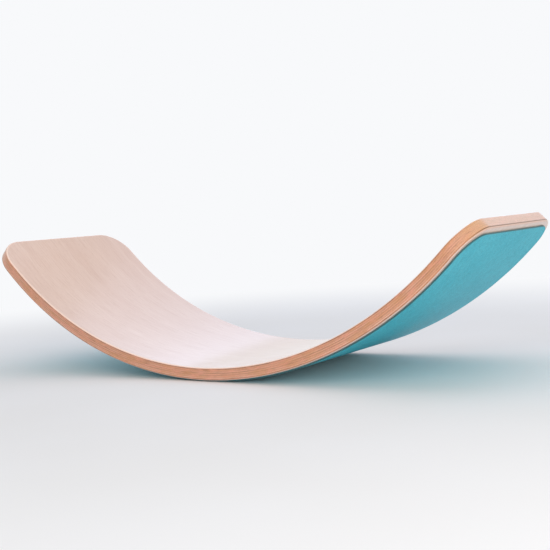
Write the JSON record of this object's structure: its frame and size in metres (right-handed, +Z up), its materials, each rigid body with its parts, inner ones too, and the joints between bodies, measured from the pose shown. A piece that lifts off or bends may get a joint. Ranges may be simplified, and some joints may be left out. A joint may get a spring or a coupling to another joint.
{
  "type": "curvy balance board",
  "caption": "Rocker board bent from laminated beech veneers, with upturned, round-cornered ends and a glued felt underside, for standing, sitting and rocking.",
  "frame": {"origin": "point on the floor under the middle of the board, where the felt rests", "axes": "+X along the board, +Y across it, +Z up; the hollow face looks up"},
  "size_m": [0.88, 0.3, 0.2191],
  "materials": {
    "face_beech": "matt clear lacquer on rotary-cut beech, grain lengthwise",
    "long_grain_beech": "sanded and lacquered veneer edge, long grain",
    "cross_grain_beech": "sanded and lacquered veneer edge, end grain",
    "cured_glue": "cured resin glue line",
    "felt_adhesive": "dried contact adhesive",
    "wool_felt": "pressed wool felt, teal, mottled and hairy"
  },
  "bodies": {
    "root": {"top_face_veneer": "face_beech", "cross_veneer_02": "cross_grain_beech", "long_veneer_03": "long_grain_beech", "cross_veneer_04": "cross_grain_beech", "long_veneer_05": "long_grain_beech", "cross_veneer_06": "cross_grain_beech", "core_veneer_07": "long_grain_beech", "cross_veneer_08": "cross_grain_beech", "long_veneer_09": "long_grain_beech", "cross_veneer_10": "cross_grain_beech", "long_veneer_11": "long_grain_beech", "cross_veneer_12": "cross_grain_beech", "bottom_face_veneer": "face_beech", "glue_line_01": "cured_glue", "glue_line_02": "cured_glue", "glue_line_03": "cured_glue", "glue_line_04": "cured_glue", "glue_line_05": "cured_glue", "glue_line_06": "cured_glue", "glue_line_07": "cured_glue", "glue_line_08": "cured_glue", "glue_line_09": "cured_glue", "glue_line_10": "cured_glue", "glue_line_11": "cured_glue", "glue_line_12": "cured_glue", "felt_adhesive": "felt_adhesive", "felt_cover": "wool_felt"}
  },
  "joints": []
}
